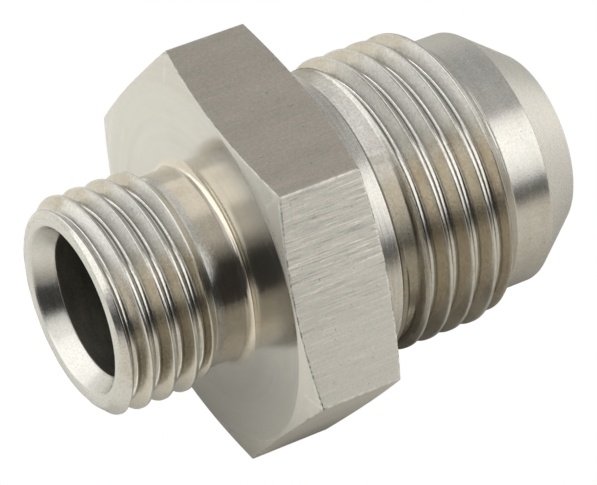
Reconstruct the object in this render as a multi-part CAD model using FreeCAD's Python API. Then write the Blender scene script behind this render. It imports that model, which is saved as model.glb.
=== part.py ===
import FreeCAD, Part
import math
import os

os.makedirs("parts", exist_ok=True)

V = FreeCAD.Vector

# Hydraulic adapter, one turned and milled steel body, millimetres.
# The body is drawn along +X: 0 is the rim of the port end, +X runs through the hexagon to the flare end.
# At the end it is laid down the way it comes to rest on a table, with +Z up.

# Flow bore through the whole body.
bore_diameter = 9.3

# Port end: metric thread M14 x 1.5 with a 60 degree seat in its mouth.
port_length = 9.1
port_thread_diameter = 14.0
port_thread_pitch = 1.5
port_rim_diameter = 12.4
port_seat_mouth_diameter = 10.9
port_seat_angle = 60.0
port_lead_angle = 45.0
port_neck_diameter = 12.45
port_neck_width = 2.5
port_neck_slope = 45.0
port_neck_fillet = 0.55

# Hexagon for a 24 mm spanner, with a turned face on each side.
hex_across_flats = 23.7
hex_length = 6.5
hex_face_diameter = 23.3
hex_chamfer_angle = 15.0

# Collar and shallow relief behind the hexagon.
collar_diameter = 19.0
collar_length = 2.15
relief_diameter = 18.25
relief_length = 1.5
relief_slope = 45.0

# Flare end: 3/4-16 thread, plain nose and 37 degree sealing cone.
flare_length = 17.0
flare_thread_diameter = 19.05
flare_thread_pitch = 1.5875
flare_lead_angle = 45.0
nose_root_clearance = 0.2
nose_length = 2.6
flare_cone_angle = 37.0
flare_tip_diameter = 11.8

# Thread form: 60 degree groove, an eighth of the pitch left flat on the crest, a sixth at the root.
flank_half_angle = 30.0
thread_depth_ratio = 0.6134
root_flat_ratio = 1.0 / 6.0
tool_overrun = 0.08
rod_overrun = 4.0
points_per_turn = 24

# Where each groove starts, starts to fade and is gone, in degrees of turn about +X.
port_crest_x = 3.16
port_crest_angle = 130.0
port_groove_free = -1100.0
port_groove_fade = 770.0
port_groove_gone = 835.0
flare_crest_x = 22.62
flare_crest_angle = 130.0
flare_groove_free = 1240.0
flare_groove_fade = -875.0
flare_groove_gone = -970.0

hex_front = port_length
hex_back = hex_front + hex_length
collar_end = hex_back + collar_length
relief_end = collar_end + relief_length
total_length = hex_back + flare_length


def tangent(degrees):
    return math.tan(math.radians(degrees))


def revolve(profile):
    """Solid of revolution about X from (x, diameter) pairs."""
    points = [V(x, 0.0, d / 2.0) for x, d in profile]
    wire = Part.makePolygon(points + [points[0]])
    return Part.Face(wire).revolve(V(0, 0, 0), V(1, 0, 0), 360)


def thread_groove(major, pitch, free_angle, fade_angle, gone_angle, crest_x, crest_angle):
    """Helical groove with sloping flanks, open at its free end and lifting out of the metal at the other."""
    depth = thread_depth_ratio * pitch
    root_radius = major / 2.0 - depth
    outer_radius = major / 2.0 + tool_overrun
    half_root = root_flat_ratio * pitch / 2.0
    turn = gone_angle - free_angle
    steps = int(round(abs(turn) / 360.0 * points_per_turn))
    rails = [[], [], [], []]
    knots = []
    for i in range(steps + 1):
        angle = free_angle + turn * i / steps
        middle = crest_x + pitch * ((angle - crest_angle) / 360.0 + 0.5)
        faded = max(0.0, (angle - fade_angle) / (gone_angle - fade_angle))
        floor_radius = root_radius + (depth + tool_overrun / 2.0) * faded
        half_top = half_root + (outer_radius - floor_radius) * tangent(flank_half_angle)
        c = math.cos(math.radians(angle))
        s = math.sin(math.radians(angle))
        section = [
            (-half_top, outer_radius),
            (-half_root, floor_radius),
            (half_root, floor_radius),
            (half_top, outer_radius),
        ]
        for rail, (offset, radius) in zip(rails, section):
            rail.append(V(middle + offset, radius * c, radius * s))
        knots.append(float(i))
    edges = []
    for points in rails:
        curve = Part.BSplineCurve()
        curve.interpolate(Points=points, Parameters=knots)
        edges.append(curve.toShape())
    faces = []
    for i in range(len(edges)):
        faces.append(Part.makeRuledSurface(edges[i], edges[(i + 1) % len(edges)]))
    for k in (0, -1):
        corners = [points[k] for points in rails]
        faces.append(Part.Face(Part.makePolygon(corners + [corners[0]])))
    shell = Part.Shell(faces)
    shell.sewShape()
    solid = Part.Solid(shell)
    if solid.Volume < 0:
        solid.reverse()
    return solid


def threaded_rod(major, start_x, end_x, groove):
    """Plain rod longer than the thread, with the groove cut into it."""
    rod = Part.makeCylinder(major / 2.0, end_x - start_x, V(start_x, 0, 0), V(1, 0, 0))
    return rod.cut(groove)


# Port end: lead chamfer, thread blank, sloping step into the neck, fillet against the hexagon.
port_lead_x = (port_thread_diameter - port_rim_diameter) / 2.0 / tangent(port_lead_angle)
neck_start = port_length - port_neck_width
neck_step = (port_thread_diameter - port_neck_diameter) / 2.0 / tangent(port_neck_slope)
# The fillet's arc is turned as two facets, half its bend each.
fillet_start = port_length - port_neck_fillet
fillet_middle = port_length - port_neck_fillet * (1.0 - math.sin(math.pi / 4.0))
fillet_middle_diameter = port_neck_diameter + 2.0 * port_neck_fillet * (1.0 - math.cos(math.pi / 4.0))
fillet_end_diameter = port_neck_diameter + 2.0 * port_neck_fillet
port_blank = revolve([
    (0.0, 0.0),
    (0.0, port_rim_diameter),
    (port_lead_x, port_thread_diameter),
    (neck_start - neck_step, port_thread_diameter),
    (neck_start, port_neck_diameter),
    (fillet_start, port_neck_diameter),
    (fillet_middle, fillet_middle_diameter),
    (port_length, fillet_end_diameter),
    (port_length + hex_length / 2.0, fillet_end_diameter),
    (port_length + hex_length / 2.0, 0.0),
])
port_groove = thread_groove(port_thread_diameter, port_thread_pitch, port_groove_free, port_groove_fade,
                            port_groove_gone, port_crest_x, port_crest_angle)
port_rod = threaded_rod(port_thread_diameter, -rod_overrun, port_length + hex_length / 4.0, port_groove)
port_end = port_rod.common(port_blank)

# Hexagonal bar with two flats level, its corners turned off to a round face at each end.
corner_radius = hex_across_flats / math.sqrt(3.0)
hex_points = [V(hex_front, corner_radius * math.cos(math.radians(60.0 * k)),
                corner_radius * math.sin(math.radians(60.0 * k))) for k in range(7)]
hex_bar = Part.Face(Part.makePolygon(hex_points)).extrude(V(hex_length, 0, 0))
chamfer_reach = 2.0


def corner_cutter(face_x, inward):
    """Ring whose cone takes the corners off the face at face_x; inward is +1 or -1, into the metal."""
    inner_x = face_x - inward * chamfer_reach * tangent(hex_chamfer_angle)
    outer_x = face_x + inward * 2.0 * chamfer_reach * tangent(hex_chamfer_angle)
    ring = revolve([
        (inner_x, hex_face_diameter - 2.0 * chamfer_reach),
        (outer_x, hex_face_diameter + 4.0 * chamfer_reach),
        (inner_x, hex_face_diameter + 4.0 * chamfer_reach),
    ])
    return ring.toNurbs()


hexagon = hex_bar.cut([corner_cutter(hex_front, 1.0), corner_cutter(hex_back, -1.0)])

# Flare end: collar, relief, thread blank with lead chamfer, nose and sealing cone.
relief_step = (flare_thread_diameter - relief_diameter) / 2.0 / tangent(relief_slope)
nose_diameter = flare_thread_diameter - 2.0 * (thread_depth_ratio * flare_thread_pitch + nose_root_clearance)
cone_length = (nose_diameter - flare_tip_diameter) / 2.0 / tangent(flare_cone_angle)
cone_start = total_length - cone_length
nose_start = cone_start - nose_length
flare_lead = (flare_thread_diameter - nose_diameter) / 2.0 / tangent(flare_lead_angle)
flare_blank = revolve([
    (hex_back - hex_length / 2.0, 0.0),
    (hex_back - hex_length / 2.0, collar_diameter),
    (collar_end, collar_diameter),
    (collar_end, relief_diameter),
    (relief_end, relief_diameter),
    (relief_end + relief_step, flare_thread_diameter),
    (nose_start - flare_lead, flare_thread_diameter),
    (nose_start, nose_diameter),
    (cone_start, nose_diameter),
    (total_length, flare_tip_diameter),
    (total_length, 0.0),
])
flare_groove = thread_groove(flare_thread_diameter, flare_thread_pitch, flare_groove_free, flare_groove_fade,
                             flare_groove_gone, flare_crest_x, flare_crest_angle)
flare_rod = threaded_rod(flare_thread_diameter, hex_back - hex_length / 4.0, total_length + rod_overrun,
                         flare_groove)
flare_end = flare_rod.common(flare_blank)

# Flow passage: 60 degree seat at the port, straight bore right through.
seat_depth = (port_seat_mouth_diameter - bore_diameter) / 2.0 / tangent(port_seat_angle / 2.0)
overrun = 1.0
seat_overrun_diameter = port_seat_mouth_diameter + 2.0 * overrun * tangent(port_seat_angle / 2.0)
passage = revolve([
    (-overrun, 0.0),
    (-overrun, seat_overrun_diameter),
    (seat_depth, bore_diameter),
    (total_length + overrun, bore_diameter),
    (total_length + overrun, 0.0),
])

body = port_end.fuse([hexagon, flare_end]).removeSplitter()
body = body.cut(passage)
body = body.Solids[0]

# At rest the lower flat stands on its back edge and the last full crest of the flare thread on the table.
flat_back = hex_back - (hex_across_flats - hex_face_diameter) / 2.0 * tangent(hex_chamfer_angle)
lowest_angle = 270.0
turns_to_lead = (nose_start - flare_lead - flare_crest_x) / flare_thread_pitch
crest_turn = (lowest_angle - flare_crest_angle) / 360.0
last_crest_x = flare_crest_x + flare_thread_pitch * (math.floor(turns_to_lead - crest_turn) + crest_turn)
crest_edge_x = last_crest_x + flare_thread_pitch / 16.0
rest_rise = (hex_across_flats - flare_thread_diameter) / 2.0
rest_slope = math.degrees(math.atan(rest_rise / (crest_edge_x - flat_back)))
body.rotate(V(0, 0, 0), V(0, 1, 0), rest_slope)
reach = body.optimalBoundingBox()
body.translate(V(-(reach.XMin + reach.XMax) / 2.0, 0.0, -reach.ZMin))

body.exportStep("parts/adapter_body.step")
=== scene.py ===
"""Hydraulic adapter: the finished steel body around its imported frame, with its light and camera.

Sizes are in millimetres along the body's own axis, measured from the rim of the port end.
"""
from collections import namedtuple
import math

import bpy
import numpy as np
from mathutils import Matrix


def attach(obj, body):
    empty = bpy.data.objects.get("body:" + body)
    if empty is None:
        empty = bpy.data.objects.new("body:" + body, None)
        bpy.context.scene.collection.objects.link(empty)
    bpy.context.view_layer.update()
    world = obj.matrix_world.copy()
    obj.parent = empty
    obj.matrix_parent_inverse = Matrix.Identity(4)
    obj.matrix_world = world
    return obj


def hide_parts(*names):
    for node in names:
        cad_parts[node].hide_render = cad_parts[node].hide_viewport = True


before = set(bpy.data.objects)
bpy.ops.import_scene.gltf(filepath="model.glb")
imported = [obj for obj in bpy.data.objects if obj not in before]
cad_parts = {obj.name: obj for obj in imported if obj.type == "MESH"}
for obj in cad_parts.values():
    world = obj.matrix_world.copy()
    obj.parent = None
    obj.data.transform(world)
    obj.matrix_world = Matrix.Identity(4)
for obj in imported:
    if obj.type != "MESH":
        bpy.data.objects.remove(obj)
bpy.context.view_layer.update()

MM = 0.001

# The two threads: crest diameter, pitch, the place and angle of one crest, the degrees of turn where the
# groove starts to fade and is gone, the reach of the strip that carries the thread, and how bright the
# root's painted highlight is low down.
PORT = {"major": 14.0, "pitch": 1.5, "crest_x": 3.16, "crest_angle": 130.0, "fade": 770.0, "gone": 835.0,
        "first": -1.0, "last": 8.0, "highlight_below": 1.0}
FLARE = {"major": 19.05, "pitch": 1.5875, "crest_x": 22.62, "crest_angle": 130.0, "fade": -875.0,
         "gone": -970.0, "first": 17.1, "last": 27.7, "highlight_below": 0.0}
# Their form: the depth as a share of the pitch, the slope of the flanks, the rounds of crest and root,
# how far over the crest a fading groove ends and for how long it goes on, and the columns in one turn.
DEPTH_RATIO = 0.6134
FLANK_TAN = math.tan(math.radians(30.0))
CREST_ROUND = 0.05
ROOT_ROUND = 0.07
FADE_OVER = 0.05
FADE_PAST = 1.4
THREAD_COLUMNS = 150

# Port end.
BORE_R = 4.65
SEAT_R = 5.45
SEAT_DEPTH = (SEAT_R - BORE_R) / math.tan(math.radians(30.0))
RIM_R = 6.2
RIM_ROUND = 0.05
NECK_R = 6.225
NECK_STEP_X = 5.825
FILLET = 0.55

# Hexagon.
FACE_X = 9.1
FACE_R = 11.65
HEX_BACK = 15.6
HALF_FLATS = 11.85
CHAMFER = math.tan(math.radians(15.0))
CORNER_ROUND = 0.16
CORNER_WIDTH = 0.6

# Flare end.
COLLAR_R = 9.5
COLLAR_X = 17.75
COLLAR_FILLET = 0.15
RELIEF_R = 9.125
RELIEF_X = 19.25
NOSE_R = 8.3512
CONE_TAN = math.tan(math.radians(37.0))
TIP_X = 32.6
TIP_R = 5.9
CONE_X = TIP_X - (NOSE_R - TIP_R) / CONE_TAN
NOSE_X = CONE_X - 2.6

# Small rounds of the turned edges.
TURNED_ROUND = 0.06
NECK_ROUND = 0.08
LEAD_ROUND = 0.05
BLEND = 0.03

# The threads are strips of their own: where their ends meet the core, and the core's radius under them.
PORT_JOIN = 7.2
RELIEF_JOIN = 18.25
NOSE_JOIN = 26.6
PORT_CORE = 5.97
FLARE_CORE = 8.44
# The strips' hidden side: its depth inside the core and below its own edges, and how it keeps off the rim.
UNDER_CORE = 0.12
UNDER_EDGE = 0.1
RIM_CLEAR = 0.2
RIM_ZONE = 0.3
# Past a join a strip waits for this long, then sinks at this slope and for this long.
SINK_WAIT = 0.25
SINK_SLOPE = 0.5
SINK_RUN = 1.2
# Ahead of the rim it folds in: it starts this far inside the edge and runs this far, and from the turn
# on it also goes behind the rim's plane, at this slope.
FOLD_INSIDE = 0.02
FOLD_RUN = 0.42
FOLD_TURN = 0.26
FOLD_SLOPE = 0.25

# The laid-down body slopes by this angle, and its box is centred over the origin and stands on the table.
SLOPE = math.radians(13.924531)
SHIFT_X = -15.79936
SHIFT_Z = 15.243106


def turned(vector):
    """A vector in body coordinates, turned by the rest slope about Y."""
    c, s = math.cos(SLOPE), math.sin(SLOPE)
    x, y, z = vector[..., 0], vector[..., 1], vector[..., 2]
    return np.stack([x * c + z * s, y, -x * s + z * c], axis=-1)


def placed(points):
    """Body coordinates in mm, turned by the rest slope and shifted onto the table, in metres."""
    return (turned(points) + np.array([SHIFT_X, 0.0, SHIFT_Z])) * MM


def smooth_min(a, b, k):
    """The lower of a and b, rounded over a band k wide."""
    h = np.clip(k - np.abs(a - b), 0.0, None) / k
    return np.minimum(a, b) - h * h * k / 4.0


def smooth_max(a, b, k):
    """The higher of a and b, rounded over a band k wide."""
    return -smooth_min(-a, -b, k)


# Envelopes the threads are turned inside.
def port_envelope(x):
    """Outer radius of the port end without its thread: lead chamfer, blank, step down to the neck."""
    lead = RIM_R + x
    blank = np.full_like(x, PORT["major"] / 2.0)
    step = PORT["major"] / 2.0 - (x - NECK_STEP_X)
    neck = np.full_like(x, NECK_R)
    outer = smooth_min(smooth_min(lead, blank, TURNED_ROUND), step, TURNED_ROUND)
    behind_lead = x > NECK_STEP_X / 2.0
    return np.where(behind_lead, smooth_max(outer, neck, NECK_ROUND), outer)


def flare_envelope(x):
    """Outer radius of the flare end without its thread: relief, step up, blank, lead chamfer, nose."""
    relief = np.full_like(x, RELIEF_R)
    rise = RELIEF_R + (x - RELIEF_X)
    blank = np.full_like(x, FLARE["major"] / 2.0)
    lead = NOSE_R + (NOSE_X - x)
    left = smooth_min(smooth_max(relief, rise, TURNED_ROUND), blank, LEAD_ROUND)
    return smooth_min(left, lead, LEAD_ROUND)


def thread_rows(pitch, depth):
    """Offsets from the crest's middle across one pitch, closer together at the crest's and root's edges."""
    crest = pitch / 16.0
    root = crest + depth * FLANK_TAN
    half = [crest * f for f in (0.0, 0.45, 0.8, 1.05, 1.35, 1.8)]
    half += [crest * 1.8 + (root - crest * 2.3) * f for f in (0.18, 0.40, 0.62, 0.82)]
    half += [root + step for step in (-0.075, -0.035, 0.005, 0.045)]
    half = np.array(half + [pitch / 2.0])
    return np.concatenate([-half[:0:-1], half])


def thread(spec, envelope, core_r, place):
    """One land of the thread as a closed strip along its helix, x = crest_x + pitch * turn.

    Across, it runs from the middle of one groove over the crest to the middle of the next, and back
    inside the metal, where it is kept behind the rim's plane. place moves the points near its ends.
    Returns the points, the quads, which quads lie on the outside, and the two end caps.
    """
    pitch = spec["pitch"]
    major = spec["major"] / 2.0
    depth = DEPTH_RATIO * pitch
    root = major - depth
    start = spec["crest_angle"] + 360.0 * (spec["first"] - spec["crest_x"]) / pitch
    end = spec["crest_angle"] + 360.0 * (spec["last"] - spec["crest_x"]) / pitch
    steps = int(round((end - start) / 360.0 * THREAD_COLUMNS))
    angle = np.linspace(start, end, steps + 1)[:, None]
    middle = spec["crest_x"] + pitch * (angle - spec["crest_angle"]) / 360.0
    offset = thread_rows(pitch, depth)[None, :]
    x = middle + offset
    flank = major - (np.abs(offset) - pitch / 16.0) / FLANK_TAN
    groove_angle = np.where(offset > 0.0, angle, angle - 360.0)
    faded = np.clip((groove_angle - spec["fade"]) / (spec["gone"] - spec["fade"]), 0.0, FADE_PAST)
    floor = root + (depth + FADE_OVER) * faded
    profile = smooth_min(np.broadcast_to(major, x.shape), flank, CREST_ROUND)
    profile = smooth_max(profile, floor, ROOT_ROUND)
    x, radius = place(x, profile, envelope)
    under_x = np.concatenate([x[:, -1:], x[:, :1]], axis=1)
    under_x = under_x + RIM_CLEAR * np.clip(1.0 - under_x / RIM_ZONE, 0.0, 1.0)
    under_r = np.concatenate([radius[:, -1:], radius[:, :1]], axis=1) - UNDER_EDGE
    under_r = np.minimum(core_r - UNDER_CORE, under_r)
    x = np.concatenate([x, under_x], axis=1)
    radius = np.concatenate([radius, under_r], axis=1)
    turn = np.radians(angle) * np.ones_like(x)
    points = np.stack([x, radius * np.cos(turn), radius * np.sin(turn)], axis=-1)
    n, m = x.shape
    i = np.arange(n - 1)[:, None] * m
    j = np.arange(m)[None, :]
    k = (j + 1) % m
    quads = np.stack([i + j, i + m + j, i + m + k, i + k], axis=-1).reshape(-1, 4)
    outside = np.tile(np.arange(m) < m - 3, n - 1)
    caps = [list(range(m)), list(range((n - 1) * m, n * m))[::-1]]
    return points.reshape(-1, 3), quads, outside, caps


def sunk(past):
    """How deep a point goes that lies past a join: it waits at the join, then goes straight in."""
    return SINK_SLOPE * np.clip(past - SINK_WAIT, 0.0, SINK_RUN)


def port_ends(x, profile, envelope):
    """Ahead of the rim the points fold into its plane and inwards; past the neck's join they sink."""
    ahead = np.clip(-x, 0.0, None)
    past = np.clip(x - PORT_JOIN, 0.0, None)
    x = np.clip(x, 0.0, PORT_JOIN)
    r = smooth_min(profile, envelope(x), BLEND)
    fold = RIM_R - FOLD_INSIDE - np.minimum(ahead, FOLD_RUN)
    r = np.where(ahead > 0.0, np.minimum(r, fold), r)
    rim_round = np.clip(RIM_ROUND - x, 0.0, None)
    r = r - rim_round * rim_round / (2.0 * RIM_ROUND)
    return x + FOLD_SLOPE * np.clip(ahead - FOLD_TURN, 0.0, None), r - sunk(past)


def flare_ends(x, profile, envelope):
    """Past both ends of the thread the points wait at the join and sink under the relief and nose."""
    past = np.clip(RELIEF_JOIN - x, 0.0, None) + np.clip(x - NOSE_JOIN, 0.0, None)
    x = np.clip(x, RELIEF_JOIN, NOSE_JOIN)
    return x, smooth_min(profile, envelope(x), BLEND) - sunk(past)


# The core.
HALF_SECTOR = [0.0, 0.13, 0.27, 0.42, 0.8, 1.6, 3.0, 5.0, 7.5, 10.0, 12.5, 15.0, 17.5, 20.0, 22.5, 25.0,
               27.5, 30.0]


def columns_round():
    """Angles about the axis, close together at the six corners of the hexagon."""
    side = np.array(HALF_SECTOR)
    sector = np.concatenate([-side[:0:-1], side])[:-1]
    return np.concatenate([60.0 * k + sector for k in range(6)])


def from_corner(angle):
    """Degrees from the nearest corner of the hexagon, with their sign."""
    return (angle + 30.0) % 60.0 - 30.0


def hexagon(angle):
    """Distance from the axis to the hexagon's side, its six corners rounded."""
    off = np.radians(from_corner(angle))
    flat = HALF_FLATS / np.cos(math.radians(30.0) - np.abs(off))
    centre = (HALF_FLATS - CORNER_ROUND) / math.cos(math.radians(30.0))
    inside = CORNER_ROUND ** 2 - (centre * np.sin(off)) ** 2
    arc = centre * np.cos(off) + np.sqrt(np.clip(inside, 0.0, None))
    return np.where(inside > 0.0, np.minimum(flat, arc), flat)


def core_rows(angle):
    """Closed section of the body as (x, radius, finish, worn) rows, each an array over the angles."""
    one = np.ones_like(angle)
    side = hexagon(angle)
    rows = []

    def add(x, r, finish, worn=False):
        rows.append((x * one, r * one, finish, worn))

    def near(finish, x, r, *steps):
        """Points at small steps from (x, r)."""
        for step_x, step_r in steps:
            add(x + step_x, r + step_r, finish)

    def between(finish, x0, r0, x1, r1, *shares):
        """Points at shares of the way from (x0, r0) to (x1, r1)."""
        for f in shares:
            add(x0 + (x1 - x0) * f, r0 + (r1 - r0) * f, finish)

    def arc(finish, x, r, radius, first, last, count):
        """Points on an arc about (x, r), from the first angle to the last in degrees."""
        for a in np.radians(np.linspace(first, last, count)):
            add(x + radius * math.cos(a), r + radius * math.sin(a), finish)

    # mouth of the port: bore, seat, its round edge, rim
    near("bore", SEAT_DEPTH, BORE_R, (0.12, 0.0), (0.02, 0.004))
    near("seat", SEAT_DEPTH, BORE_R, (-0.04, 0.026), (-0.16, 0.094))
    between("seat", SEAT_DEPTH, BORE_R, 0.0, SEAT_R, 0.35, 0.6, 0.8)
    near("seat", 0.0, SEAT_R, (0.20, -0.115))
    near("rim", 0.0, SEAT_R, (0.13, -0.070), (0.07, -0.020), (0.03, 0.035), (0.008, 0.10), (0.0, 0.17),
         (0.0, 0.25))
    near("rim", 0.0, PORT_CORE, (0.0, -0.05), (0.0, -0.045))
    # core of the port thread, neck with its fillet
    near("port", 0.0, PORT_CORE, (0.03, 0.0), (3.5, 0.0), (PORT_JOIN - 0.08, 0.0))
    near("neck", PORT_JOIN, NECK_R, (0.0, 0.0), (0.004, 0.0), (1.0, 0.0))
    near("neck", FACE_X - FILLET, NECK_R, (-0.05, 0.0))
    arc("neck", FACE_X - FILLET, NECK_R + FILLET, FILLET, -86.0, -4.0, 9)
    # turned face towards the port
    near("face", FACE_X, NECK_R + FILLET, (0.0, 0.05))
    for r in (7.1, 8.2, 9.4, 10.6, 11.4):
        add(FACE_X, r, "face")
    near("face", FACE_X, FACE_R, (0.0, -0.07), (0.004, -0.02))
    # hexagon: chamfer, flats, chamfer
    front_x = FACE_X + (side - FACE_R) * CHAMFER
    back_x = HEX_BACK - (side - FACE_R) * CHAMFER
    for f in (0.12, 0.3, 0.6, 0.85, 0.96):
        add(FACE_X + (front_x - FACE_X) * f, FACE_R + (side - FACE_R) * f, "chamfer", f > 0.9)
    add(front_x + 0.012, side - 0.012, "chamfer", True)
    add(front_x + 0.045, side, "flat", True)
    add(front_x + 0.16, side, "flat")
    for f in (0.15, 0.32, 0.5, 0.68, 0.85):
        add(front_x + 0.16 + (back_x - front_x - 0.32) * f, side, "flat")
    add(back_x - 0.16, side, "flat")
    add(back_x - 0.045, side, "flat", True)
    add(back_x - 0.012, side - 0.012, "flat", True)
    for f in (0.96, 0.85, 0.6, 0.3, 0.12):
        add(HEX_BACK - (HEX_BACK - back_x) * f, FACE_R + (side - FACE_R) * f, "chamfer", f > 0.9)
    near("face", HEX_BACK, FACE_R, (-0.004, -0.02), (0.0, -0.07))
    add(HEX_BACK, 10.6, "face")
    near("face", HEX_BACK, COLLAR_R, (0.0, 0.22))
    # collar, relief
    arc("collar", HEX_BACK + COLLAR_FILLET, COLLAR_R + COLLAR_FILLET, COLLAR_FILLET, 180.0, 270.0, 5)
    near("collar", HEX_BACK, COLLAR_R, (0.3, 0.0), (1.0, 0.0))
    near("collar", COLLAR_X, COLLAR_R, (-0.2, 0.0))
    arc("collar", COLLAR_X - TURNED_ROUND, COLLAR_R - TURNED_ROUND, TURNED_ROUND, 90.0, 0.0, 4)
    near("relief", COLLAR_X, RELIEF_R, (0.0, 0.14))
    arc("relief", COLLAR_X + TURNED_ROUND, RELIEF_R + TURNED_ROUND, TURNED_ROUND, 180.0, 270.0, 4)
    near("relief", COLLAR_X, RELIEF_R, (0.2, 0.0))
    near("relief", RELIEF_JOIN, RELIEF_R, (-0.004, 0.0), (0.0, 0.0))
    # core of the flare thread, nose
    near("flare", RELIEF_JOIN, FLARE_CORE, (0.08, 0.0), (3.75, 0.0))
    near("flare", NOSE_JOIN, FLARE_CORE, (-0.08, 0.0))
    near("nose", NOSE_JOIN, NOSE_R + NOSE_X - NOSE_JOIN, (0.0, 0.0), (0.004, -0.004))
    near("nose", NOSE_X, NOSE_R, (-0.05, 0.05), (-0.012, 0.02), (0.025, 0.004), (0.07, 0.0), (0.2, 0.0))
    between("nose", NOSE_X, NOSE_R, CONE_X, NOSE_R, 0.5)
    near("nose", CONE_X, NOSE_R, (-0.2, 0.0), (-0.06, -0.001))
    # sealing cone, tip, bore
    near("cone", CONE_X, NOSE_R, (-0.02, -0.006), (0.02, -0.022), (0.06, -0.046))
    between("cone", CONE_X, NOSE_R, TIP_X, TIP_R, 0.06, 0.3, 0.55, 0.8, 0.93)
    near("cone", TIP_X, TIP_R, (-0.07, 0.07 * CONE_TAN), (-0.03, 0.012))
    near("rim", TIP_X, TIP_R, (-0.006, -0.03), (0.0, -0.085))
    near("rim", TIP_X, BORE_R, (0.0, 0.24), (-0.012, 0.2))
    near("bore", TIP_X, BORE_R, (-0.2, 0.012), (-0.24, 0.0))
    for x in (28.0, 20.0, 12.0, 6.0, 2.4):
        add(x, BORE_R, "bore")
    return rows


def core(angle):
    """The core as a closed grid of rows and columns.

    Returns the points, the quads, the row that each quad starts from, the finish of each row and the
    wear of each point: 1 along the hexagon's edges and 0.5 down its corners.
    """
    rows = core_rows(angle)
    x = np.array([r[0] for r in rows])
    radius = np.array([r[1] for r in rows])
    turn = np.radians(angle)[None, :] * np.ones_like(x)
    points = np.stack([x, radius * np.cos(turn), radius * np.sin(turn)], axis=-1)
    n, m = x.shape
    i = np.arange(n)[:, None]
    j = np.arange(m)[None, :]
    below = (i + 1) % n
    side = (j + 1) % m
    quads = np.stack([i * m + j, i * m + side, below * m + side, below * m + j], axis=-1)
    finish_of = [r[2] for r in rows]
    worn = np.array([1.0 if r[3] else 0.0 for r in rows])[:, None] * np.ones_like(x)
    hexagonal = np.array([finish in ("flat", "chamfer") for finish in finish_of])[:, None]
    corner = np.abs(from_corner(angle))[None, :] < CORNER_WIDTH
    worn = np.where(hexagonal & corner, np.maximum(worn, 0.5), worn)
    row_of = np.repeat(np.arange(n), m)
    return points.reshape(-1, 3), quads.reshape(-1, 4), row_of, finish_of, worn.reshape(-1)


# Shading helpers.
class Graph:
    """An emptied node tree, with short ways to add nodes and link them."""

    def __init__(self, tree):
        tree.nodes.clear()
        self.tree = tree

    def node(self, kind, **settings):
        """A new node of this kind, with these settings."""
        made = self.tree.nodes.new(kind)
        for key, value in settings.items():
            setattr(made, key, value)
        return made

    def feed(self, socket, value):
        """Link another node's output into the socket, or set a plain value on it."""
        if isinstance(value, bpy.types.NodeSocket):
            self.tree.links.new(value, socket)
        else:
            socket.default_value = value

    def math(self, kind, a, b=0.0, c=None, clamp=False):
        n = self.node("ShaderNodeMath", operation=kind, use_clamp=clamp)
        self.feed(n.inputs[0], a)
        self.feed(n.inputs[1], b)
        if c is not None:
            self.feed(n.inputs[2], c)
        return n.outputs[0]

    def plus(self, a, b):
        return self.math("ADD", a, b)

    def minus(self, a, b):
        return self.math("SUBTRACT", a, b)

    def times(self, a, b):
        return self.math("MULTIPLY", a, b)

    def over(self, a, b):
        return self.math("DIVIDE", a, b)

    def times_plus(self, a, b, c):
        return self.math("MULTIPLY_ADD", a, b, c)

    def length(self, a, b):
        """Length of the two sides a and b put at right angles."""
        return self.math("SQRT", self.plus(self.times(a, a), self.times(b, b)))

    def scaled(self, level, share, amount):
        """level where share is 0, level times 1 + amount where it is 1."""
        return self.times(level, self.times_plus(share, amount, 1.0))

    def lay(self, under, share, level):
        """under where share is 0, level where it is 1."""
        return self.times_plus(share, self.minus(level, under), under)

    def smooth(self, value, a, b, low=0.0, high=1.0):
        """low at a, high at b, with a smooth change between."""
        n = self.node("ShaderNodeMapRange", interpolation_type="SMOOTHSTEP")
        self.feed(n.inputs[0], value)
        for k, v in zip((1, 2, 3, 4), (a, b, low, high)):
            self.feed(n.inputs[k], v)
        return n.outputs[0]

    def window(self, value, a, b, soft):
        """1 between a and b and 0 outside, with edges twice soft wide."""
        return self.times(self.smooth(value, a - soft, a + soft), self.smooth(value, b + soft, b - soft))

    def vector(self, kind, a, b=None, scale=None):
        n = self.node("ShaderNodeVectorMath", operation=kind)
        self.feed(n.inputs[0], a)
        if b is not None:
            self.feed(n.inputs[1], b)
        if scale is not None:
            self.feed(n.inputs[3], scale)
        return n.outputs[1] if kind == "DOT_PRODUCT" else n.outputs[0]

    def join(self, x, y, z):
        n = self.node("ShaderNodeCombineXYZ")
        for k, v in enumerate((x, y, z)):
            self.feed(n.inputs[k], v)
        return n.outputs[0]

    def split(self, vector):
        n = self.node("ShaderNodeSeparateXYZ")
        self.feed(n.inputs[0], vector)
        return n.outputs

    def azimuth(self, x, y):
        """Degrees about Z from -Y towards +X."""
        return self.times(self.math("ARCTAN2", x, self.times(y, -1.0)), 180.0 / math.pi)

    def noise(self, vector, scale, detail, rough):
        n = self.node("ShaderNodeTexNoise")
        self.feed(n.inputs["Vector"], vector)
        self.feed(n.inputs["Scale"], scale)
        self.feed(n.inputs["Detail"], detail)
        self.feed(n.inputs["Roughness"], rough)
        return n.outputs[0]

    def mix(self, factor, a, b):
        """Colour a where factor is 0, colour b where it is 1."""
        n = self.node("ShaderNodeMix", data_type="RGBA")
        self.feed(n.inputs[0], factor)
        for k, colour in ((6, a), (7, b)):
            linked = isinstance(colour, bpy.types.NodeSocket)
            self.feed(n.inputs[k], colour if linked else (*colour, 1.0))
        return n.outputs[2]

    def seen_or_lit(self, lit, seen, output):
        """The shader lit for light and reflections, and the shader seen for the camera's own rays."""
        both = self.node("ShaderNodeMixShader")
        self.feed(both.inputs[0], self.node("ShaderNodeLightPath").outputs["Is Camera Ray"])
        self.feed(both.inputs[1], lit.outputs[0])
        self.feed(both.inputs[2], seen.outputs[0])
        self.feed(self.node(output).inputs["Surface"], both.outputs[0])


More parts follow.
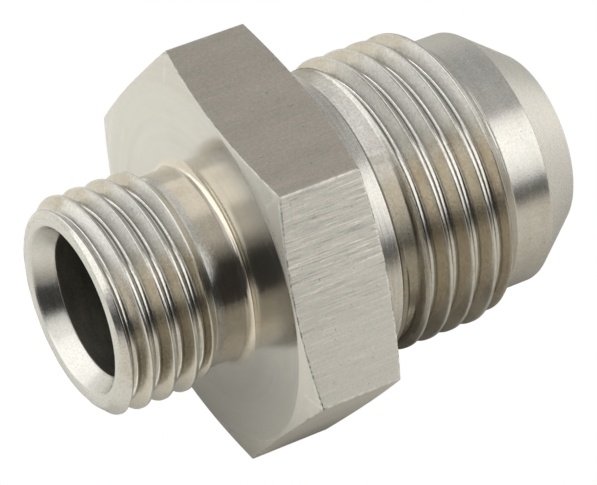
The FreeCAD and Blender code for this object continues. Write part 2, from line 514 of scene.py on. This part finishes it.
# Finishes.
AXIS = (math.cos(SLOPE), 0.0, -math.sin(SLOPE))
ACROSS = (math.sin(SLOPE), 0.0, math.cos(SLOPE))
STEEL = (0.56, 0.548, 0.512)
# Thread flank colours: painted shade at the sides, painted light along the top.
SHADED_FLANK = (0.525, 0.488, 0.415)
LIT_FLANK = (0.74, 0.735, 0.70)
# Relief colours: painted shade at the sides, painted light along the top.
SHADED_RELIEF = (0.31, 0.284, 0.23)
LIT_RELIEF = (0.87, 0.85, 0.805)
# The painted highlight along the thread roots.
ROOT_HIGHLIGHT = (0.90, 0.885, 0.84)
STAIN_TINT = (0.36, 0.30, 0.22)

# Change of the steel's shade, as a share of it.
LINE_CHANGE = 1.2
BROAD_CHANGE = 0.18
PIT_DARK = -0.40
# Painted shade beside the thread roots, stronger at the sides than on top.
ROOT_SHADE_SIDES = -0.34
ROOT_SHADE_TOP = -0.12
# Painted shade on crest and root along the top.
CREST_ROOT_SHADE = -0.55
# Painted shade in the corner where the collar steps down to the relief.
BAND_DARK = -0.6
NICK_DARK = -0.55
RUB_LIGHT = 0.22
# Change of its roughness, and the least that it may be.
SPECK_ROUGH = 0.16
LINE_ROUGH = 0.14
SIDE_ROUGH = 0.05
TOP_ROUGH = 0.26
LEAST_ROUGH = 0.05
# Relief of the fine marks: its full depth, and the share that the grain and the nicks have of it.
BUMP_DEPTH = 0.012 * MM
GRAIN_HEIGHT = 0.35
NICK_HEIGHT = -2.0
# How far lines and patches are drawn out: the share that counts of the way along them.
LATHE_RUN = 0.35
DRAWN_RUN = 0.045
PATCH_RUN = 0.25
# Light and dark scores on the drawn flats, and the mm over the axis between which they grow stronger.
LIGHT_SCORE = (0.53, 0.66)
DARK_SCORE = (0.46, 0.33)
SCORE_DEPTH = 0.42
STRONG_FROM = 2.0
STRONG_AT = 8.5
STRONG_LEAST = 0.25
# Where in their noises the pits, the stains, the nicks and the rubbing start and are full.
PIT_START = 0.76
PIT_FULL = 0.80
PIT_SHIFT = -0.04
STAIN_RANGE = (0.46, 0.70)
NICK_RANGE = (0.46, 0.60)
RUB_RANGE = (0.60, 0.42)
# Softness in mm of a painted shade band's and a thread's ends, the share of a stain left where a thread's
# top is painted lighter, and how far clouds shift the height at which that painted light starts.
BAND_SOFT = 0.03
THREAD_SOFT = 0.12
LIT_TOP_STAIN = 0.25
LIT_TOP_CLOUDS = 0.16
# Where a thread's painted light and shade are, each pair from none to full: in mm over its root's or its
# crest's radius, in mm past a crest's middle, and by height round the body, from -1 below to 1 on top.
FLANK_OVER_ROOT = (0.06, 0.14)
FLANK_OVER_CREST = (-0.05, -0.13)
ROOT_LINE = (0.07, 0.03)
CREST_LINE = (-0.07, -0.04)
PAST_MIDDLE = (0.03, 0.07)
DARK_HEIGHT = (0.87, 0.93)
HIGHLIGHT_HEIGHT = (0.85, 0.95)
HIGHLIGHT_LOW_HEIGHT = (0.40, 0.30)
# The painted shade line beside the root: from and to in mm over the root's radius, and its softness.
BESIDE_ROOT = (0.10, 0.20, 0.03)

# A position on the body in mm: along the axis, to its side, above it, away from it, and the way round it.
Place = namedtuple("Place", "mm along aside above radius round_way")
# A thread's painted light: its root and crest radius, where along the axis it lies, its colour with painted
# shade on the sides and with painted light along the top, and how high on the body that painted light starts
# and is full, from -1 below to 1 on top.
ThreadLight = namedtuple("ThreadLight", "thread root crest first last oily dry dry_from dry_at")


def body_place(g):
    """The shaded point's place on the body."""
    mm = g.vector("SCALE", g.node("ShaderNodeTexCoord").outputs["Object"], scale=1.0 / MM)
    mm = g.vector("SUBTRACT", mm, (SHIFT_X, 0.0, SHIFT_Z))
    along = g.vector("DOT_PRODUCT", mm, AXIS)
    above = g.vector("DOT_PRODUCT", mm, ACROSS)
    aside = g.vector("DOT_PRODUCT", mm, (0.0, 1.0, 0.0))
    round_way = g.vector("NORMALIZE", g.vector("CROSS_PRODUCT", AXIS, mm))
    return Place(mm, along, aside, above, g.length(above, aside), round_way)


def lathe_lines(g, place):
    """Fine lines round the axis, and their slow change."""
    round_axis = g.times(g.math("ARCTAN2", place.above, place.aside), LATHE_RUN)
    grooves = g.join(place.along, place.radius, round_axis)
    fine = g.noise(grooves, scale=7.0, detail=3.0, rough=0.65)
    return fine, g.noise(grooves, scale=1.6, detail=2.0, rough=0.5)


def drawn_lines(g, place):
    """Fine lines along the axis, scored light and dark and stronger towards the top, and their change."""
    streaks = g.join(g.times(place.along, DRAWN_RUN), place.aside, place.above)
    fine = g.noise(streaks, scale=7.5, detail=4.0, rough=0.75)
    towards_top = g.smooth(place.above, STRONG_FROM, STRONG_AT, STRONG_LEAST, 1.0)
    scored = g.minus(g.smooth(fine, *LIGHT_SCORE), g.smooth(fine, *DARK_SCORE))
    fine = g.times_plus(scored, SCORE_DEPTH, g.times_plus(fine, 0.5, -0.25))
    patches = g.join(g.times(place.along, PATCH_RUN), place.aside, place.above)
    return g.times_plus(fine, towards_top, 0.5), g.noise(patches, scale=0.7, detail=2.0, rough=0.5)


def from_crest(g, place, spec):
    """How far along the axis the point lies past the nearest crest's middle, in mm.

    The turns that the thread has made here, less the part of a turn that the point lies round the
    axis, leave a fraction of a pitch. It runs from half a pitch before the middle to half past it.
    """
    turns = g.over(g.math("ARCTAN2", place.above, place.aside), 2.0 * math.pi)
    ahead = g.over(g.minus(place.along, spec["crest_x"]), spec["pitch"])
    phase = g.minus(g.plus(ahead, spec["crest_angle"] / 360.0 + 0.5), turns)
    return g.times(g.minus(g.math("FRACT", phase), 0.5), spec["pitch"])


def paint_thread_light(g, place, thread_light, tint, shade, roughness):
    """Painted light and shade on a thread: its colour, shade, roughness and the share of painted top light
    at each place.

    The flanks are painted darker at the sides and lighter along the top, where they are also rougher, and a
    painted shade line lies beside the root. Along the top, crest and root have painted shade from each
    crest's middle to the next root's, and the root has a painted highlight elsewhere. It also has this
    painted highlight low down on a thread that says so.
    """
    threaded = g.window(place.along, thread_light.first, thread_light.last, THREAD_SOFT)
    over_root = g.minus(place.radius, thread_light.root)
    over_crest = g.minus(place.radius, thread_light.crest)
    height = g.over(place.above, place.radius)
    sides = g.times(g.smooth(over_root, *FLANK_OVER_ROOT), g.smooth(over_crest, *FLANK_OVER_CREST))
    flank = g.times(threaded, sides)
    # How far each place has the painted light of the top, its edge broken by clouds.
    cloud = g.minus(g.noise(place.mm, scale=0.9, detail=3.0, rough=0.6), 0.5)
    dry = g.smooth(g.times_plus(cloud, LIT_TOP_CLOUDS, height), thread_light.dry_from, thread_light.dry_at)
    # Painted shade on the flanks at the sides and painted light along the top.
    colour = g.mix(flank, tint, g.mix(dry, thread_light.oily, thread_light.dry))
    # A painted shade line beside the root, stronger at the sides.
    beside_root = g.times(threaded, g.window(over_root, *BESIDE_ROOT))
    shade = g.scaled(shade, beside_root, g.lay(ROOT_SHADE_SIDES, dry, ROOT_SHADE_TOP))
    # Painted shade on crest and root along the top, behind each crest's middle.
    root_line = g.times(threaded, g.smooth(over_root, *ROOT_LINE))
    crest_line = g.times(threaded, g.smooth(over_crest, *CREST_LINE))
    past = g.smooth(from_crest(g, place, thread_light.thread), *PAST_MIDDLE)
    dark = g.times(g.times(past, g.plus(crest_line, root_line)), g.smooth(height, *DARK_HEIGHT))
    shade = g.scaled(shade, dark, CREST_ROOT_SHADE)
    # A painted highlight along the root: on top, and low down where the thread says so.
    low = g.smooth(height, *HIGHLIGHT_LOW_HEIGHT, 0.0, thread_light.thread["highlight_below"])
    root_highlight = g.times(root_line, g.plus(g.smooth(height, *HIGHLIGHT_HEIGHT), low))
    root_highlight = g.times(root_highlight, g.lay(1.0, g.times(past, dry), 0.0))
    colour = g.mix(root_highlight, colour, ROOT_HIGHLIGHT)
    roughness = g.times_plus(flank, g.lay(SIDE_ROUGH, dry, TOP_ROUGH), roughness)
    return colour, shade, roughness, dry


def edge_wear(g, place, shade, height, edges):
    """Shade and height with the hexagon's dark nicks and the bright rubbing beside them.

    The mesh says where it is worn: 1 along the edges, which are nicked and rubbed, and 0.5 down the
    corners, which are only rubbed.
    """
    worn = g.node("ShaderNodeAttribute", attribute_name="edge").outputs["Fac"]
    chips = g.smooth(g.noise(place.mm, scale=3.2, detail=3.0, rough=0.7), *NICK_RANGE)
    nick = g.times(g.smooth(worn, 0.5, 1.0), chips)
    patches = g.smooth(g.noise(place.mm, scale=2.1, detail=3.0, rough=0.7), *RUB_RANGE)
    rub = g.times(g.smooth(worn, 0.0, 0.5), patches)
    shade = g.scaled(shade, nick, NICK_DARK * edges)
    shade = g.scaled(shade, rub, RUB_LIGHT * edges)
    return shade, g.times_plus(nick, NICK_HEIGHT * edges, height)


def metal(g, colour, roughness, stretch, spread, height):
    """The metal shader, its highlights spread along one direction and its surface raised by height."""
    bump = g.node("ShaderNodeBump")
    g.feed(bump.inputs["Height"], height)
    g.feed(bump.inputs["Strength"], 1.0)
    g.feed(bump.inputs["Distance"], BUMP_DEPTH)
    shader = g.node("ShaderNodeBsdfPrincipled")
    g.feed(shader.inputs["Metallic"], 1.0)
    g.feed(shader.inputs["Base Color"], colour)
    g.feed(shader.inputs["Roughness"], g.math("MAXIMUM", roughness, LEAST_ROUGH, clamp=True))
    g.feed(shader.inputs["Anisotropic"], stretch)
    g.feed(shader.inputs["Tangent"], spread)
    g.feed(shader.inputs["Normal"], bump.outputs[0])
    g.feed(g.node("ShaderNodeOutputMaterial").inputs["Surface"], shader.outputs[0])


def steel(name, tint, rough, stretch, lines, grain, drawn=False, pits=0.0, stain=0.0, edges=0.0, thread_light=None,
          band=None):
    """Bare steel, turned on the lathe with its fine lines round the axis, or drawn with them along it.

    tint is the reflected colour, stretch how far highlights spread across the lines, lines the depth of
    the visible lines, grain the fine mottling, pits the share of small dark marks, stain the share of
    olive-brown patches, and edges the share of wear along the hexagon's edges. thread_light is a thread's
    painted light and shade, and band a stretch of the axis with painted shade where the collar steps down.
    """
    material = bpy.data.materials.new(name)
    material.use_nodes = True
    g = Graph(material.node_tree)
    place = body_place(g)
    line, broad = drawn_lines(g, place) if drawn else lathe_lines(g, place)
    speck = g.noise(place.mm, scale=6.5, detail=4.0, rough=0.7)
    line_swing = g.minus(line, 0.5)
    speck_swing = g.minus(speck, 0.5)
    shade = g.times_plus(speck_swing, grain, 1.0)
    shade = g.scaled(shade, line_swing, lines * LINE_CHANGE)
    shade = g.scaled(shade, g.minus(broad, 0.5), BROAD_CHANGE)
    if pits:
        dots = g.noise(place.mm, scale=5.5, detail=1.0, rough=0.4)
        hole = g.smooth(dots, PIT_START + PIT_SHIFT * pits, PIT_FULL + PIT_SHIFT * pits)
        shade = g.scaled(shade, hole, PIT_DARK)
    roughness = g.times_plus(line_swing, LINE_ROUGH, g.times_plus(speck_swing, SPECK_ROUGH, rough))
    height = g.times_plus(line, lines, g.times(speck, grain * GRAIN_HEIGHT))
    colour = tint
    # Painted light and shade on a thread.
    if thread_light:
        colour, shade, roughness, dry = paint_thread_light(g, place, thread_light, tint, shade, roughness)
    if stain:
        blots = g.noise(place.mm, scale=0.55, detail=4.0, rough=0.62)
        patch = g.smooth(blots, *STAIN_RANGE, 0.0, stain)
        # Less of the stain where the thread's top is painted lighter.
        if thread_light:
            patch = g.times(patch, g.lay(1.0, dry, LIT_TOP_STAIN))
        colour = g.mix(patch, colour, STAIN_TINT)
    # Painted shade in the corner where the collar steps down to the relief.
    if band:
        shade = g.scaled(shade, g.window(place.along, *band, BAND_SOFT), BAND_DARK)
    if edges:
        shade, height = edge_wear(g, place, shade, height, edges)
    normal = g.node("ShaderNodeNewGeometry").outputs["Normal"]
    spread = g.vector("CROSS_PRODUCT", normal, AXIS if drawn else place.round_way)
    metal(g, g.vector("SCALE", colour, scale=shade), roughness, stretch, spread, height)
    material.diffuse_color = (*tint, 1.0)
    return material


# The painted light and shade of the two threads and of the relief: lighter along the top, darker at the
# sides.
PORT_PAINTED_LIGHT = ThreadLight(PORT, 6.08, 7.0, 0.85, 6.4, SHADED_FLANK, LIT_FLANK, 0.79, 0.985)
FLARE_PAINTED_LIGHT = ThreadLight(FLARE, 8.551, 9.525, 17.0, 26.0, SHADED_FLANK, LIT_FLANK, 0.79, 0.985)
RELIEF_PAINTED_LIGHT = ThreadLight(FLARE, 8.7, 9.9, 17.5, 19.7, SHADED_RELIEF, LIT_RELIEF, 0.80, 1.0)
finishes = {
    "bore": steel("bore_turned_dark", (0.25, 0.235, 0.205), rough=0.42, stretch=0.3, lines=0.5, grain=1.0),
    "seat": steel("seat_turned", (0.565, 0.555, 0.522), rough=0.22, stretch=0.5, lines=0.10, grain=0.60,
                  stain=0.1),
    "rim": steel("rim_turned", (0.57, 0.565, 0.535), rough=0.26, stretch=0.3, lines=0.06, grain=0.26),
    "port": steel("port_thread_turned", STEEL, rough=0.17, stretch=0.3, lines=0.12, grain=0.90, pits=0.3,
                  stain=0.3, thread_light=PORT_PAINTED_LIGHT),
    "neck": steel("neck_turned", (0.62, 0.572, 0.488), rough=0.13, stretch=0.4, lines=0.06, grain=0.42,
                  stain=0.25),
    "face": steel("washer_face_turned", (0.578, 0.568, 0.535), rough=0.18, stretch=0.5, lines=0.035,
                  grain=0.14, stain=0.06),
    "chamfer": steel("hex_chamfer_turned", STEEL, rough=0.30, stretch=0.3, lines=0.06, grain=0.18,
                     edges=0.5),
    "flat": steel("hex_drawn_flat", (0.70, 0.685, 0.638), rough=0.50, stretch=0.7, lines=0.60, grain=0.40,
                  drawn=True, pits=0.5, edges=1.0),
    # The flat on top is a darker copy of the drawn flats: painted shade.
    "top_flat": steel("hex_top_flat_shaded_copy", (0.495, 0.46, 0.405), rough=0.42, stretch=0.6, lines=0.14,
                      grain=0.60, drawn=True, pits=0.3, edges=0.5),
    "collar": steel("collar_turned", STEEL, rough=0.25, stretch=0.6, lines=0.48, grain=0.70, stain=0.15),
    # The relief is painted lighter along the top and darker at the sides, with painted shade where the
    # collar steps down.
    "relief": steel("relief_turned", (0.50, 0.462, 0.385), rough=0.26, stretch=0.3, lines=0.34, grain=1.05,
                    pits=0.4, stain=0.4, thread_light=RELIEF_PAINTED_LIGHT, band=(COLLAR_X - 0.02, COLLAR_X + 0.28)),
    "flare": steel("flare_thread_turned", STEEL, rough=0.17, stretch=0.3, lines=0.12, grain=0.90, pits=0.3,
                   stain=0.4, thread_light=FLARE_PAINTED_LIGHT),
    "nose": steel("nose_turned", STEEL, rough=0.23, stretch=0.65, lines=0.12, grain=0.75, pits=0.7,
                  stain=0.1),
    "cone": steel("sealing_cone_turned", (0.59, 0.575, 0.545), rough=0.28, stretch=0.3, lines=0.06,
                  grain=0.50),
}
names = list(finishes)


# The piece.
def vertex_normals(points, quads, outside):
    """Normals at the corners, each face weighing by its area, so flats stay flat up to their edges.

    Faces inside the metal count only at corners that no outside face touches.
    """
    a, b, c, d = (points[quads[:, k]] for k in range(4))
    area = np.cross(c - a, d - b)
    total = np.zeros_like(points)
    for chosen in (outside, ~outside):
        share = np.zeros_like(points)
        for k in range(4):
            np.add.at(share, quads[chosen, k], area[chosen])
        empty = np.linalg.norm(total, axis=1) < 1e-16
        total[empty] = share[empty]
    length = np.linalg.norm(total, axis=1, keepdims=True)
    return total / np.where(length > 0.0, length, 1.0)


def make_object(name, points, quads, outside, caps, material_index, worn):
    """The mesh with its finishes, its wear as the attribute edge, and its own normals."""
    mesh = bpy.data.meshes.new(name)
    faces = [tuple(q) for q in quads.tolist()] + [tuple(c) for c in caps]
    mesh.from_pydata(points.tolist(), [], faces)
    for key in names:
        mesh.materials.append(finishes[key])
    index = np.concatenate([material_index, np.full(len(caps), material_index[0])]).astype(np.int32)
    mesh.polygons.foreach_set("material_index", index)
    mesh.polygons.foreach_set("use_smooth", np.ones(len(faces), dtype=bool))
    mesh.attributes.new("edge", "FLOAT", "POINT").data.foreach_set("value", worn.astype(np.float32))
    mesh.update()
    mesh.normals_split_custom_set_from_vertices(vertex_normals(points, quads, outside).tolist())
    made = bpy.data.objects.new(name, mesh)
    bpy.context.scene.collection.objects.link(made)
    return made


def core_part():
    """The core's arrays, with the finish of each quad. The flat on top is a darker copy: painted shade."""
    angle = columns_round()
    points, quads, row_of, finish_of, worn = core(angle)
    row_index = [names.index(finish_of[(k + 1) % len(finish_of)]) for k in range(len(finish_of))]
    index = np.array(row_index)[row_of]
    on_top = np.tile(np.abs(angle - 89.9) < 30.0, len(finish_of))
    index = np.where((index == names.index("flat")) & on_top, names.index("top_flat"), index)
    return points, quads, np.ones(len(quads), dtype=bool), [], index, worn


def thread_part(spec, envelope, core_r, place, finish):
    """A thread's arrays. Where it fades out under the relief it has the relief's finish."""
    points, quads, outside, caps = thread(spec, envelope, core_r, place)
    index = np.full(len(quads), names.index(finish))
    if finish == "flare":
        index[points[quads[:, 0], 0] < RELIEF_X + 0.15] = names.index("relief")
    return points, quads, outside, caps, index, np.zeros(len(points))


def steel_body():
    """Core and threads joined into one mesh, laid down as the body rests."""
    parts = [core_part(),
             thread_part(PORT, port_envelope, PORT_CORE, port_ends, "port"),
             thread_part(FLARE, flare_envelope, FLARE_CORE, flare_ends, "flare")]
    points, quads, outside, caps, index, worn = zip(*parts)
    shifts = np.cumsum([0] + [len(p) for p in points[:-1]])
    quads = np.concatenate([q + shift for q, shift in zip(quads, shifts)])
    caps = [[v + shift for v in cap] for part_caps, shift in zip(caps, shifts) for cap in part_caps]
    return make_object("adapter_steel", placed(np.concatenate(points)), quads, np.concatenate(outside), caps,
                       np.concatenate(index), np.concatenate(worn))


body = steel_body()
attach(body, "root")
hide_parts("adapter_body")


# Stage.
WHITE = (1.0, 1.0, 1.0, 1.0)
OPEN = 400.0
TABLE_HALF = 6.0
TABLE_LEVEL = 0.78
# Patches on the table by azimuth: from, to, softness, level. Brighter beside the panels, dim between.
TABLE_PATCHES = [
    (-OPEN, -60.0, 15.0, 1.0),
    (84.0, 106.0, 10.0, 1.16),
    (114.0, 148.0, 9.0, 0.55),
    (-46.0, 6.0, 9.0, 0.48),
]
# The soft shadow round the body, which is taken as a line along X of this half length: its level, and
# the distances at which it is full and gone.
BODY_HALF = 11.0 * MM
SHADOW_LEVEL = 0.74
SHADOW_FULL = 4.0 * MM
SHADOW_GONE = 20.0 * MM
# Out in front, towards the camera, the table falls to this level between two distances.
FRONT = (-30.0, 60.0, 8.0)
FRONT_LEVEL = 0.22
FRONT_START = 60.0 * MM
FRONT_FULL = 160.0 * MM
PAPER = (0.86, 0.85, 0.80)
WARM_PAPER = (0.86, 0.82, 0.735)
WARM = (-60.0, 70.0, 20.0)
# The room by direction, each patch laid over those before it: azimuth from, to and softness, elevation
# from, to and softness, level. An azimuth or elevation of OPEN has no edge on that side.
ROOM_LEVEL = 0.44
CEILING_RISE = 0.2
CEILING_RANGE = (40.0, 75.0)
GLOW = 1.25
GLOW_TINT = (1.0, 0.99, 0.97, 1.0)
SUN_STRENGTH = 1.12
ROOM_PATCHES = [
    # grey wall behind, lighter low down and towards the left
    (144.0, OPEN, 16.0, -OPEN, 19.0, 15.0, 0.58),
    (-OPEN, -152.5, 12.5, -OPEN, 21.0, 9.0, 0.98),
    (-156.0, -84.0, 8.0, -OPEN, 22.0, 4.0, 0.85),
    # open light low on the right
    (88.0, 116.0, 10.0, -OPEN, 25.0, 5.0, 0.95),
    # dark side of the camera
    (-60.0, 30.0, 5.0, -OPEN, 55.0, 15.0, 0.04),
    (-76.0, -40.0, 5.0, -OPEN, 22.5, 4.5, 0.06),
    (-100.0, -34.0, 6.0, -OPEN, 7.0, 3.0, 0.55),
    # the panels
    (-162.0, -79.0, 6.0, 24.0, 76.0, 3.5, 1.42),
    (-80.0, -42.0, 6.0, 43.0, 74.0, 5.0, 1.1),
    (-172.0, -154.0, 5.0, 16.0, 70.0, 4.0, 1.42),
    (30.0, 78.0, 3.5, 8.0, 51.0, 2.5, 1.45),
    # below the table's edge
    (-OPEN, OPEN, 1.0, -OPEN, -1.0, 1.0, 0.5),
]


def table():
    """White table. Seen directly it is plain white; in reflections it is warm paper with a soft shadow."""
    mesh = bpy.data.meshes.new("table_top")
    w = TABLE_HALF
    mesh.from_pydata([(-w, -w, 0.0), (w, -w, 0.0), (w, w, 0.0), (-w, w, 0.0)], [], [(0, 1, 2, 3)])
    material = bpy.data.materials.new("table_paper")
    material.use_nodes = True
    g = Graph(material.node_tree)
    x, y = g.split(g.node("ShaderNodeTexCoord").outputs["Object"])[:2]
    toward = g.azimuth(x, y)
    shade = TABLE_LEVEL
    for first, last, soft, level in TABLE_PATCHES:
        shade = g.lay(shade, g.window(toward, first, last, soft), level)
    past_ends = g.math("MAXIMUM", g.minus(g.math("ABSOLUTE", x), BODY_HALF), 0.0)
    shadow = g.smooth(g.length(past_ends, y), SHADOW_FULL, SHADOW_GONE, SHADOW_LEVEL, 1.0)
    shade = g.times(shade, shadow)
    far_out = g.smooth(g.length(x, y), FRONT_START, FRONT_FULL)
    shade = g.lay(shade, g.times(g.window(toward, *FRONT), far_out), FRONT_LEVEL)
    paper = g.node("ShaderNodeBsdfDiffuse")
    tint = g.mix(g.window(toward, *WARM), PAPER, WARM_PAPER)
    g.feed(paper.inputs["Color"], g.vector("SCALE", tint, scale=shade))
    white = g.node("ShaderNodeEmission")
    g.feed(white.inputs["Color"], WHITE)
    g.seen_or_lit(paper, white, "ShaderNodeOutputMaterial")
    mesh.materials.append(material)
    made = bpy.data.objects.new("table_top", mesh)
    bpy.context.scene.collection.objects.link(made)


def room():
    """The room as light by direction: azimuth from -Y towards +X, elevation above the table.

    A bright panel stands on each side, the ceiling is grey, and the side of the camera is dark.
    """
    world = bpy.data.worlds.new("studio")
    bpy.context.scene.world = world
    world.use_nodes = True
    g = Graph(world.node_tree)
    x, y, z = g.split(g.vector("NORMALIZE", g.node("ShaderNodeTexCoord").outputs["Generated"]))
    up = g.times(g.math("ARCSINE", z), 180.0 / math.pi)
    toward = g.azimuth(x, y)
    light = g.times_plus(g.smooth(up, *CEILING_RANGE), CEILING_RISE, ROOM_LEVEL)
    for first, last, soft, lowest, highest, soft_up, level in ROOM_PATCHES:
        patch = g.times(g.window(toward, first, last, soft), g.window(up, lowest, highest, soft_up))
        light = g.lay(light, patch, level)
    seen = g.node("ShaderNodeBackground")
    g.feed(seen.inputs["Color"], WHITE)
    g.feed(seen.inputs["Strength"], 1.0)
    glow = g.node("ShaderNodeBackground")
    g.feed(glow.inputs["Color"], GLOW_TINT)
    g.feed(glow.inputs["Strength"], g.times(light, GLOW))
    g.seen_or_lit(glow, seen, "ShaderNodeOutputWorld")


def table_light():
    """A soft light from above for the table, which leaves no highlight on the steel."""
    data = bpy.data.lights.new("table_light", "SUN")
    data.energy = SUN_STRENGTH
    data.angle = math.radians(40.0)
    sun = bpy.data.objects.new("table_light", data)
    sun.rotation_euler = (math.radians(12.0), math.radians(14.0), 0.0)
    sun.visible_glossy = False
    bpy.context.scene.collection.objects.link(sun)


table()
room()
table_light()


# Camera, in the body's coordinates: the picture's right and down, the way it looks and where it stands.
RIGHT = (0.85876423, -0.50681023, 0.07528207)
DOWN = (-0.32568716, -0.65337283, -0.68339726)
AHEAD = (0.39553998, 0.56235872, -0.7261548)
EYE = (-74.07032, -128.24357, 164.0058)
PICTURE_WIDTH = 597.0
FOCAL_PIXELS = 3651.965
SENSOR_WIDTH = 36.0


def photo_camera():
    """The camera at the photograph's viewing angle."""
    data = bpy.data.cameras.new("camera")
    data.sensor_width = SENSOR_WIDTH
    data.lens = SENSOR_WIDTH * FOCAL_PIXELS / PICTURE_WIDTH
    data.clip_start = 0.01
    data.clip_end = 20.0
    made = bpy.data.objects.new("camera", data)
    bpy.context.scene.collection.objects.link(made)
    right, down, ahead = (turned(np.array(v)) for v in (RIGHT, DOWN, AHEAD))
    eye = placed(np.array(EYE))
    pose = Matrix.Identity(4)
    for k in range(3):
        pose[k] = (right[k], -down[k], -ahead[k], eye[k])
    made.matrix_world = pose
    return made


bpy.context.scene.camera = photo_camera()
bpy.context.scene.view_settings.view_transform = "Standard"
